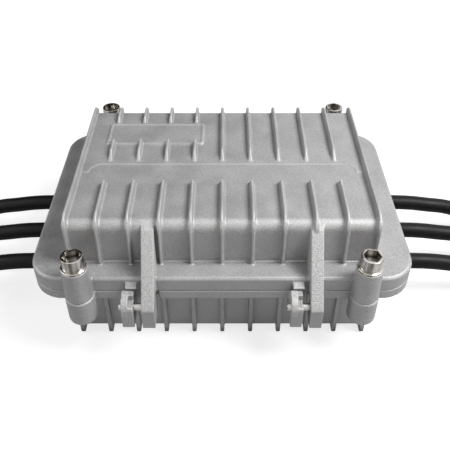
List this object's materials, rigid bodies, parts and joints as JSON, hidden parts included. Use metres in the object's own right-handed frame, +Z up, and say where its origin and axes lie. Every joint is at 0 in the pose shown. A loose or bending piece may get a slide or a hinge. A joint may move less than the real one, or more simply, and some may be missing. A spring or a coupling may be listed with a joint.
{
  "type": "dmx splitter",
  "caption": "Finned cast metal box for splitting a lighting control line, with a hinged screw-down lid, glands and rubber flying leads.",
  "frame": {"origin": "middle of the case's flanges, at the tips of the fins it stands on", "axes": "+X along the long side to the right, +Y towards the back, away from the hinges, +Z up"},
  "size_m": [0.702, 0.1876, 0.0938],
  "materials": {
    "cast_alloy": "shot-blasted die casting with a silver grey coat",
    "gasket_rubber": "matt",
    "bright_steel": "bright turned stainless",
    "gland_metal": "nickel plate",
    "cable_rubber": "satin black jacket",
    "boot_rubber": "matt",
    "shell_metal": "satin nickel",
    "insert_plastic": "moulded",
    "wire_plastic": "coloured insulation",
    "board_laminate": "solder mask",
    "brass": "turned",
    "module_plastic": "moulded",
    "terminal_plastic": "moulded",
    "white_plastic": "moulded",
    "fuse_glass": "glass and plated clips"
  },
  "bodies": {
    "case": {"base_housing": "cast_alloy", "lid_gasket": "gasket_rubber", "gland_body_power": "gland_metal", "gland_body_input": "gland_metal", "gland_body_out1": "gland_metal", "gland_body_out2": "gland_metal", "gland_body_out3": "gland_metal", "gland_body_out4": "gland_metal", "gland_nut_power": "gland_metal", "gland_nut_input": "gland_metal", "gland_nut_out1": "gland_metal", "gland_nut_out2": "gland_metal", "gland_nut_out3": "gland_metal", "gland_nut_out4": "gland_metal", "gland_seals": "gasket_rubber", "gland_washers": "gasket_rubber", "gland_locknuts": "gland_metal", "cable_power": "cable_rubber", "cable_input": "cable_rubber", "cable_out1": "cable_rubber", "cable_out2": "cable_rubber", "cable_out3": "cable_rubber", "cable_out4": "cable_rubber", "connector_boot_power": "boot_rubber", "connector_boot_input": "boot_rubber", "connector_boot_out1": "boot_rubber", "connector_boot_out2": "boot_rubber", "connector_boot_out3": "boot_rubber", "connector_boot_out4": "boot_rubber", "connector_shell_power": "shell_metal", "connector_shell_input": "shell_metal", "connector_shell_out1": "shell_metal", "connector_shell_out2": "shell_metal", "connector_shell_out3": "shell_metal", "connector_shell_out4": "shell_metal", "connector_insert_power": "insert_plastic", "connector_insert_input": "insert_plastic", "connector_insert_out1": "insert_plastic", "connector_insert_out2": "insert_plastic", "connector_insert_out3": "insert_plastic", "connector_insert_out4": "insert_plastic", "inner_jackets": "cable_rubber", "core_wires": "wire_plastic", "main_board": "board_laminate", "board_standoffs": "brass", "board_screws": "bright_steel", "power_module": "module_plastic", "terminal_blocks": "terminal_plastic", "optocouplers": "white_plastic", "line_drivers": "module_plastic", "fuse": "fuse_glass"},
    "lid": {"lid_housing": "cast_alloy", "cover_washers": "bright_steel", "hinge_pin_left": "gland_metal", "hinge_pin_right": "gland_metal"},
    "screw_1": {"cover_screw_1": "bright_steel"},
    "screw_2": {"cover_screw_2": "bright_steel"},
    "screw_3": {"cover_screw_3": "bright_steel"},
    "screw_4": {"cover_screw_4": "bright_steel"}
  },
  "joints": [
    {"name": "lid_hinge", "type": "hinge", "parent": "case", "child": "lid", "pos_m": [0, -0.09, 0.0468], "axis": [1, 0, 0], "range_deg": [0, 105]},
    {"name": "screw_1_lift", "type": "slide", "parent": "lid", "child": "screw_1", "axis": [0, 0, 1], "range_m": [0, 0.012]},
    {"name": "screw_2_lift", "type": "slide", "parent": "lid", "child": "screw_2", "axis": [0, 0, 1], "range_m": [0, 0.012]},
    {"name": "screw_3_lift", "type": "slide", "parent": "lid", "child": "screw_3", "axis": [0, 0, 1], "range_m": [0, 0.012]},
    {"name": "screw_4_lift", "type": "slide", "parent": "lid", "child": "screw_4", "axis": [0, 0, 1], "range_m": [0, 0.012]}
  ]
}
